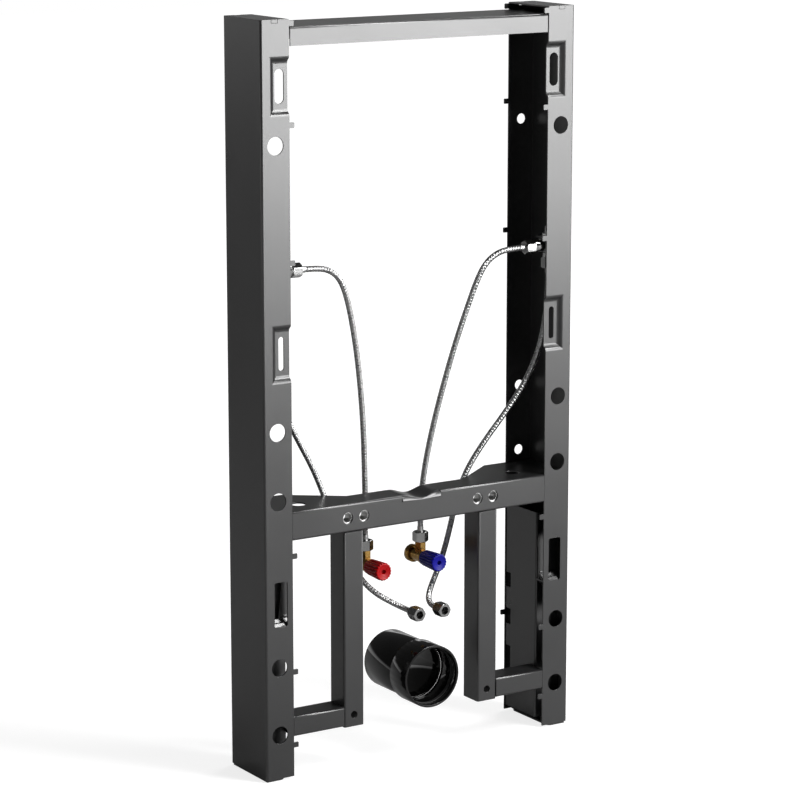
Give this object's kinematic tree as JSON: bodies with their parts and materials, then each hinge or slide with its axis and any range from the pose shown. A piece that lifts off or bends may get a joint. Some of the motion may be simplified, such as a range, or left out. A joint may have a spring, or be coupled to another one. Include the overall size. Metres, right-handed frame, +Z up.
{
  "type": "bidet installation frame",
  "caption": "Freestanding sheet-steel frame for a wall-hung bidet, with telescopic legs, bidet bar, supply hoses, angle valves and drain connector.",
  "frame": {"origin": "on the floor, midway between the posts and midway between the drain connector's mouth and the back of the posts", "axes": "+Z up, +X to the right seen from the bidet's side, +Y towards the wall behind the frame"},
  "size_m": [0.482, 0.1205, 0.995],
  "materials": {
    "frame_coating": "semi-gloss powder coat",
    "zinc_steel": "zinc plated",
    "brass": "dull turned brass",
    "nickel_fittings": "nickel plated",
    "steel_braid": "braided stainless wire",
    "hot_knob": "moulded, glossy",
    "cold_knob": "moulded, glossy",
    "drain_plastic": "smooth moulded",
    "seal_rubber": "matt"
  },
  "bodies": {
    "frame": {"left_post": "frame_coating", "right_post": "frame_coating", "left_post_top_plate": "frame_coating", "right_post_top_plate": "frame_coating", "top_rail": "frame_coating", "bidet_bar": "frame_coating", "saddle_tray": "frame_coating", "left_bracket_upright": "frame_coating", "right_bracket_upright": "frame_coating", "left_bracket_crosspiece": "frame_coating", "right_bracket_crosspiece": "frame_coating", "left_leg_clamp": "frame_coating", "right_leg_clamp": "frame_coating", "left_hose_plate": "frame_coating", "right_hose_plate": "frame_coating", "bolt_bushes": "zinc_steel", "left_elbow_lock_nut": "zinc_steel", "right_elbow_lock_nut": "zinc_steel", "left_valve_body": "brass", "right_valve_body": "brass", "left_supply_elbow": "nickel_fittings", "right_supply_elbow": "nickel_fittings", "left_feed_hose_nut": "nickel_fittings", "right_feed_hose_nut": "nickel_fittings", "left_outlet_hose_top_nut": "nickel_fittings", "right_outlet_hose_top_nut": "nickel_fittings", "left_valve_nut": "nickel_fittings", "right_valve_nut": "nickel_fittings", "left_outlet_hose_nut": "nickel_fittings", "right_outlet_hose_nut": "nickel_fittings", "left_feed_hose": "steel_braid", "right_feed_hose": "steel_braid", "left_outlet_hose": "steel_braid", "right_outlet_hose": "steel_braid", "drain_socket": "drain_plastic", "drain_pipe": "drain_plastic", "drain_seal": "seal_rubber"},
    "left_leg_slider": {"left_leg": "frame_coating", "left_foot_plate": "frame_coating", "left_leg_glides": "drain_plastic"},
    "right_leg_slider": {"right_leg": "frame_coating", "right_foot_plate": "frame_coating", "right_leg_glides": "drain_plastic"},
    "left_knob_head": {"left_knob": "hot_knob"},
    "right_knob_head": {"right_knob": "cold_knob"}
  },
  "joints": [
    {"name": "left_leg_slide", "type": "slide", "parent": "frame", "child": "left_leg_slider", "axis": [0, 0, -1], "range_m": [0, 0.2]},
    {"name": "right_leg_slide", "type": "slide", "parent": "frame", "child": "right_leg_slider", "axis": [0, 0, -1], "range_m": [0, 0.2]},
    {"name": "left_knob_turn", "type": "hinge", "parent": "frame", "child": "left_knob_head", "pos_m": [-0.0442, -0.01, 0.2525], "axis": [0, -1, 0], "range_deg": [0, 720]},
    {"name": "right_knob_turn", "type": "hinge", "parent": "frame", "child": "right_knob_head", "pos_m": [0.0442, -0.01, 0.2525], "axis": [0, -1, 0], "range_deg": [0, 720]}
  ]
}
